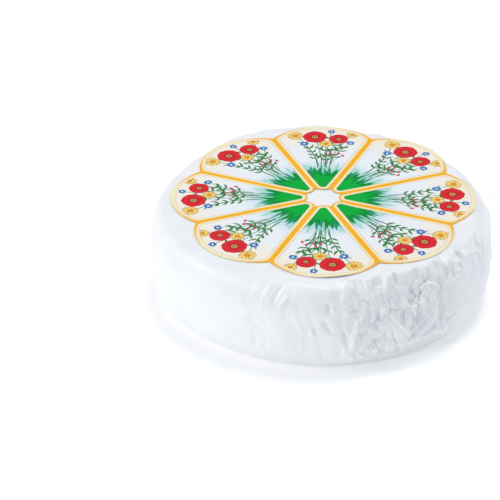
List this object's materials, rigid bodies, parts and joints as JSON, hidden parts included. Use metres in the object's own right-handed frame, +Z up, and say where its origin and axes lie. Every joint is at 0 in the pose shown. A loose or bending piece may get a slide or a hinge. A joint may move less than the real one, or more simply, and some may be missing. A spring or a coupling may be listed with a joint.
{
  "type": "camembert cheese wheel",
  "caption": "Large flat wheel of soft cheese, wrapped in crumpled white paper, with wedge-shaped portion labels set in a ring on its top.",
  "frame": {"origin": "middle of the outline's box, at the flat underside", "axes": "+Z up through the wheel, square to its flat top; -Y towards the side that faces the viewer"},
  "size_m": [0.2242, 0.2301, 0.0606],
  "materials": {
    "wrap_paper": "satin",
    "label_paper": "satin"
  },
  "bodies": {
    "root": {"wheel": "wrap_paper", "label_1": "label_paper", "label_2": "label_paper", "label_3": "label_paper", "label_4": "label_paper", "label_5": "label_paper", "label_6": "label_paper", "label_7": "label_paper", "label_8": "label_paper"}
  },
  "joints": []
}
